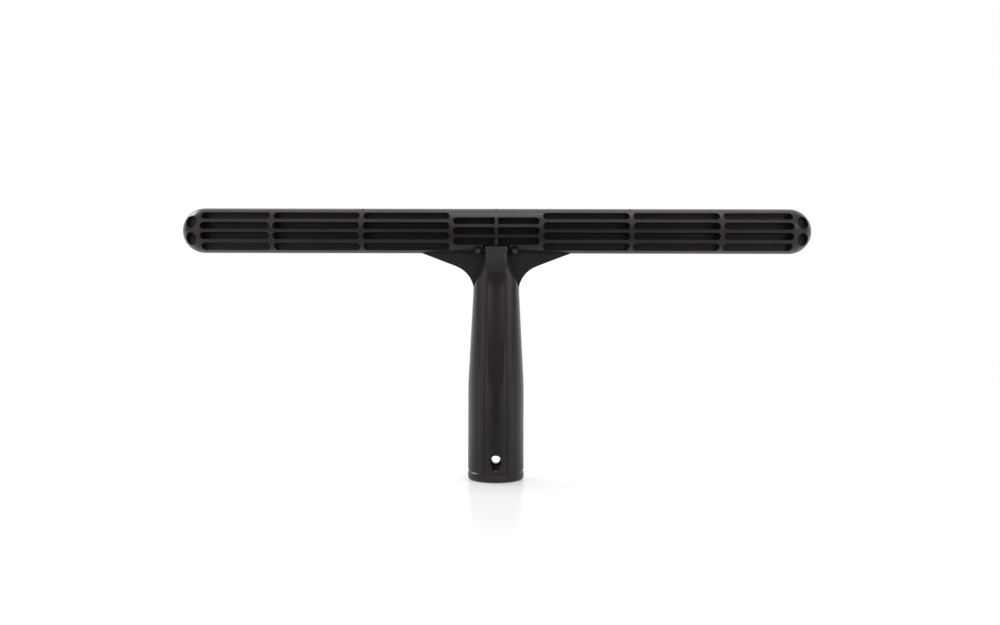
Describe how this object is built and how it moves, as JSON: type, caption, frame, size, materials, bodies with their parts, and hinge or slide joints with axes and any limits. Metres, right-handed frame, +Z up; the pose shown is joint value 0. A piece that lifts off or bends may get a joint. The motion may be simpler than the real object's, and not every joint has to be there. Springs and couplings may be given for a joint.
{
  "type": "window scrubber holder",
  "caption": "T-bar handle that carries a fleece washer sleeve for windows, with ribbed round-faced bar, braced neck, tapered hollow grip for a pole and a cross hole near the foot.",
  "frame": {"origin": "centre of the grip's foot, on the surface that it stands on", "axes": "+X along the bar, -Y towards the front, +Z up from the foot to the bar"},
  "size_m": [0.35, 0.0314, 0.1505],
  "materials": {
    "bar_plastic": "satin moulded plastic, near black",
    "spine_plastic": "satin moulded plastic, near black",
    "grip_plastic": "satin moulded plastic, near black",
    "strip_plastic": "satin moulded plastic, near black",
    "sleeve_plastic": "fine-ribbed moulded plastic, black",
    "collar_plastic": "satin moulded plastic, near black",
    "pin_plastic": "satin moulded plastic, near black",
    "dowel_plastic": "plain moulded plastic"
  },
  "bodies": {
    "root": {"front_bar_cover": "bar_plastic", "rear_bar_cover": "bar_plastic", "spine_plate": "spine_plastic", "grip_body": "grip_plastic", "front_grip_strip": "strip_plastic", "rear_grip_strip": "strip_plastic", "pole_sleeve": "sleeve_plastic", "foot_collar": "collar_plastic", "left_neck_pin": "pin_plastic", "right_neck_pin": "pin_plastic", "cover_dowels": "dowel_plastic"}
  },
  "joints": []
}
